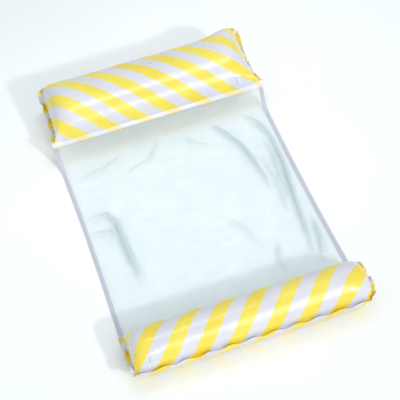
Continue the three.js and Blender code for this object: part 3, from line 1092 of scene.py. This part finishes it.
def net_creases(x, y):
    """(height of the creases, how closely the net is gathered up in them, which also sets how dark its shade
    is painted) at each place.
    """
    lift = np.zeros(x.shape)
    gathered = np.zeros(x.shape)
    for line, height, width in CREASES:
        away, share = distance_to_line(x, y, line)
        # A crease has a narrow crest and wide flanks, and dies away at its two ends.
        fade = np.sin(np.pi * np.clip(share, 0.02, 0.98)) ** 0.4
        lift = np.maximum(lift, height * fade * (1 + (away / width) ** 2) ** -1.5)
        closeness = np.exp(-((away / (width * GATHER_REACH)) ** 2))
        gathered = np.maximum(gathered, closeness * fade * min(height / GATHERED_HEIGHT, 1.0))
    return lift, gathered


def net_wrinkles(x, y):
    """(how far the net lies above its middle line, how closely it is gathered, which also sets its painted
    shade): creases and waves.
    """
    lift, gathered = net_creases(x, y)
    for _ in range(WAVE_COUNT):
        heading = random.uniform(0, np.pi)
        wave_length = random.uniform(*WAVE_LENGTHS)
        phase = random.uniform(0, 2 * np.pi)
        along = x * np.cos(heading) + y * np.sin(heading)
        lift += WAVE_HEIGHT * (1 + np.sin(2 * np.pi * along / wave_length + phase))
    from_side = net_half_width(y) - np.abs(x)
    head_y, foot_y = fold_line(HEADREST)[0], fold_line(FOOTREST)[0]
    from_fold = np.minimum(head_y - y, y - foot_y)
    # The bindings and the pillows hold the net smooth beside them.
    free = smooth_step(from_side, 0.008, 0.035) * smooth_step(from_fold, 0.0, 0.05)
    return lift * free, gathered * free


def net_surface():
    """Grids of points on the net, of places on the flat cut and of how closely it is gathered, which also
    sets its painted shade.
    """
    path = net_path()
    along = running_length(path)
    half = net_half_width(path[:, 0])
    columns = round(2 * half.max() / NET_STEP)
    across = np.linspace(-1, 1, columns + 1)
    x = half[:, None] * across
    y = np.repeat(path[:, :1], columns + 1, axis=1)
    direction = unit_rows(np.gradient(path, axis=0))
    lift, gathered = net_wrinkles(x, y)
    points = np.stack([x, y + lift * direction[:, 1:], path[:, 1:] - lift * direction[:, :1]], axis=-1)
    flat = np.stack([x, np.repeat(along[:, None], columns + 1, axis=1)], axis=-1)
    return points, flat, gathered


def cloth_strip(name, points, flat, material, gathered=None):
    """A thin closed sheet of cloth through a grid of points."""
    index = np.arange(points[..., 0].size).reshape(points.shape[:2])
    strip = new_object(name, points.reshape(-1, 3), grid_faces(index)[:, ::-1], material)
    set_uv(strip, flat.reshape(-1, 2))
    if gathered is not None:
        # how closely the net is gathered, which its material also uses for painted shade in the creases
        layer = strip.data.attributes.new("gathered", "FLOAT", "POINT")
        layer.data.foreach_set("value", gathered.ravel())
    thickness = strip.modifiers.new("cloth_thickness", "SOLIDIFY")
    thickness.thickness = NET_THICKNESS
    thickness.offset = 0
    return shade_smooth(apply_modifiers(strip))


def make_net(material):
    points, flat, gathered = net_surface()
    net = cloth_strip("net_sheet", points, flat, material, gathered)
    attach(net, "net")
    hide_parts("net_panel")
    return net, points, flat


def make_hem(pillow, material):
    """The net's end, sewn on under a pillow's border and bending at the fold."""
    fold_y, fold_z = fold_line(pillow)
    way = pillow.facing
    under = 0.0009
    slant = np.array([way * math.cos(BORDER_DROOP), math.sin(BORDER_DROOP)])
    below = np.array([way * math.sin(BORDER_DROOP), -math.cos(BORDER_DROOP)]) * under
    up_border = [np.array([fold_y, fold_z]) + below + slant * s for s in np.linspace(HEM_WIDTH, 0, HEM_ROWS)]
    path = net_path()
    if way < 0:
        path = path[::-1]
    behind = np.array([way * under, 0])
    down_net = [p + behind for p in evenly(path[:HEM_OVERLAP], HEM_ROWS)]
    line = np.array(up_border + down_net)
    half = net_half_width(fold_y) - HEM_MARGIN
    x = np.linspace(-half, half, round(2 * half / NET_STEP) + 1)
    points = np.zeros((len(line), len(x), 3))
    points[..., 0] = x
    points[..., 1:] = line[:, None]
    along = running_length(line)
    flat = np.stack(np.meshgrid(x, along), axis=-1)
    hem = cloth_strip(pillow.name + "_hem", points, flat, material)
    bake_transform(hem)
    return hem


def make_binding(side, name, points, flat, material):
    """A tape folded round one of the net's side edges."""
    edge = points[:, -1 if side > 0 else 0]
    along = flat[:, 0, 1]
    direction = unit_rows(np.gradient(edge, axis=0))
    outward = np.array([side, 0.0, 0.0])
    across = unit_rows(outward - direction * (direction @ outward)[:, None])
    upward = np.cross(across, direction) * -side
    slot_half = NET_THICKNESS / 2 + TAPE_CLEARANCE
    thick = TAPE_HALF_THICKNESS
    outline = [(-TAPE_WIDTH, thick), (thick, thick), (thick, -thick), (-TAPE_WIDTH, -thick)]
    outline += [(-TAPE_WIDTH, -slot_half), (0.0, -slot_half), (0.0, slot_half), (-TAPE_WIDTH, slot_half)]
    outline = rounded(outline, radius=0.0005, closed=True)
    if side < 0:
        outline = outline[::-1]
    rows = []
    for place, out, up in zip(edge, across, upward):
        rows.append([place + out * a + up * b for a, b in outline])
    tape = swept(name, rows, material)
    round_section = running_length(np.array(outline + outline[:1]))[:-1]
    set_uv(tape, [(w, a) for a in along for w in round_section])
    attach(tape, "net")
    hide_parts(("right" if side > 0 else "left") + "_binding")
    stitch_height = thick + STITCH_RADIUS * 0.2
    seam = edge - across * (TAPE_WIDTH - STITCHES_INSET) + upward * stitch_height
    return tape, seam, upward


def row_at(place, length, rows):
    """The row of numbers at a distance along a line, between the rows at its points."""
    return np.array([np.interp(place, length, rows[:, k]) for k in range(3)])


def stitch_row(name, line, upward, body, material):
    """Short stitches of thread end to end along a line, each sunk a little at its ends."""
    length = running_length(line)
    sides, rings = 6, 7
    turn = np.linspace(0, 2 * np.pi, sides, endpoint=False)
    ring_share = np.linspace(-1, 1, rings)
    points, faces = [], []
    for middle in np.arange(STITCH_PITCH, length[-1] - STITCH_PITCH / 2, STITCH_PITCH):
        centre = row_at(middle, length, line)
        ahead = row_at(middle + 1e-3, length, line) - row_at(middle - 1e-3, length, line)
        ahead /= np.linalg.norm(ahead)
        up = row_at(middle, length, upward)
        up /= np.linalg.norm(up)
        beside = np.cross(ahead, up)
        faces += tube_faces(len(points), sides, rings)
        for share in ring_share:
            radius = STITCH_RADIUS * math.sqrt(max(1 - share**4, 0.09))
            sunk = STITCH_RADIUS * STITCH_SINK * share**2
            ring_centre = centre + ahead * (share * STITCH_LENGTH / 2) - up * sunk
            for angle in turn:
                points.append(ring_centre + radius * (beside * math.cos(angle) + up * math.sin(angle)))
    row = shade_smooth(new_object(name, points, faces, material))
    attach(row, body)
    return row


def make_border_stitches(pillow, film, material):
    """Two rows of stitches that hold the net under a pillow's border."""
    fold_y, fold_z = fold_line(pillow)
    surface = BVHTree.FromObject(film, bpy.context.evaluated_depsgraph_get())
    upward = Vector((0, -pillow.facing * math.sin(BORDER_DROOP), math.cos(BORDER_DROOP)))
    half = net_half_width(fold_y) - TAPE_WIDTH
    ray_height, ray_length = 0.01, 0.03
    for number, from_fold in enumerate(SEAM_ROWS, 1):
        y = fold_y + pillow.facing * from_fold * math.cos(BORDER_DROOP)
        z = fold_z + from_fold * math.sin(BORDER_DROOP)
        line = []
        for x in np.arange(-half, half, STITCH_PITCH / 2):
            place = Vector((x, y, z))
            hit = surface.ray_cast(place + upward * ray_height, -upward, ray_length)[0]
            line.append(hit + upward * STITCH_RADIUS * 0.3 if hit else place)
        line = np.array(line)
        name = f"{pillow.name}_seam_row_{number}"
        stitch_row(name, line, np.tile(np.array(upward), (len(line), 1)), pillow.name, material)


# ---------------------------------------------------------------- camera, lights and floor


def set_camera():
    """Looks down from beyond the foot tube's left end, with the camera tilted."""
    azimuth, elevation, roll = (math.radians(a) for a in (-10.0, 45.2, -10.0))
    target = Vector((0.015, -0.023, 0.05))
    distance = 4.11
    level = math.cos(elevation)
    back = Vector((math.sin(azimuth) * level, -math.cos(azimuth) * level, math.sin(elevation)))
    data = bpy.data.cameras.new("camera")
    data.sensor_width = 36
    data.lens = 125.1
    camera = bpy.data.objects.new("camera", data)
    scene.collection.objects.link(camera)
    camera.rotation_mode = "QUATERNION"
    upright = (-back).to_track_quat("-Z", "Y")
    camera.rotation_quaternion = upright @ Matrix.Rotation(roll, 4, "Z").to_quaternion()
    camera.location = target + back * distance
    scene.camera = camera


def add_area_light(name, size, power):
    data = bpy.data.lights.new(name, "AREA")
    data.shape = "RECTANGLE"
    data.size, data.size_y = size
    data.energy = power
    light = bpy.data.objects.new(name, data)
    scene.collection.objects.link(light)
    return light


def add_key_light(place):
    """A small light far away, which throws the pillows' shadows on the net."""
    light = add_area_light("key", (0.5, 0.5), 260)
    light.location = place
    light.rotation_mode = "QUATERNION"
    light.rotation_quaternion = (-Vector(place)).to_track_quat("-Z", "Y")


def set_lights():
    add_key_light((2.8, -7.0, 4.5))
    add_strip_light(HEADREST, math.radians(80), 2.4)
    add_strip_light(FOOTREST, math.radians(46), 1.5)
    world = bpy.data.worlds.new("sky")
    world.use_nodes = True
    world.node_tree.nodes["Background"].inputs["Color"].default_value = (0.87, 0.96, 1.0, 1)
    world.node_tree.nodes["Background"].inputs["Strength"].default_value = 0.74
    scene.world = world
    scene.view_settings.view_transform = "Standard"


def add_strip_light(pillow, elevation, power):
    """A long narrow light, slanting down to the left, that lays a soft streak along a pillow."""
    distance = 2.6
    low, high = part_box(pillow.name + "_upper_panel")
    aim = Vector((0, (low.y + high.y) / 2, high.z / 2))
    back = Vector((0.12, -math.cos(elevation), math.sin(elevation))).normalized()
    rising = Vector((0, math.sin(elevation), math.cos(elevation)))
    slant = Vector((0.80, 0, 0)) + 0.45 * rising
    along = (slant - back * slant.dot(back)).normalized()
    light = add_area_light(pillow.name + "_strip", (2.0, 0.24), power)
    light.data.spread = math.radians(60)
    light.matrix_world = Matrix((along, back.cross(along), back)).transposed().to_4x4()
    light.location = aim + distance * back


def make_floor():
    half = 6.0
    corners = [(-half, -half, 0), (half, -half, 0), (half, half, 0), (-half, half, 0)]
    floor = new_object("floor", corners, [(0, 1, 2, 3)], matte_floor())
    gap = 0.0005  # keeps its surface apart from the pillows' undersides
    floor.location.z = cad_box[0].z - gap


# ---------------------------------------------------------------- the float

set_camera()
set_lights()
make_floor()
plastic = clear_plastic()
weave = net_weave()
thread = sewing_thread()
tape_cloth = woven_tape()
net, net_points, net_flat = make_net(weave)
on_net = []
for pillow in PILLOWS:
    slant, start = pillow.stripe_slant, pillow.stripe_start
    upper_print = printed_film(pillow.name + "_upper_print", pillow, slant, start)
    start -= 2 * slant * pillow.flat_depth  # the two prints meet at the far weld
    lower_print = printed_film(pillow.name + "_lower_print", pillow, -slant, start)
    upper_film = make_pillow(pillow, upper_print, lower_print)
    make_valve(pillow, upper_film, plastic)
    on_net.append(make_hem(pillow, weave))
    make_border_stitches(pillow, upper_film, thread)
for side, name in ((-1, "left_tape"), (1, "right_tape")):
    tape, seam, upward = make_binding(side, name, net_points, net_flat, tape_cloth)
    on_net += [tape, stitch_row(name + "_stitches", seam, upward, "net", thread)]
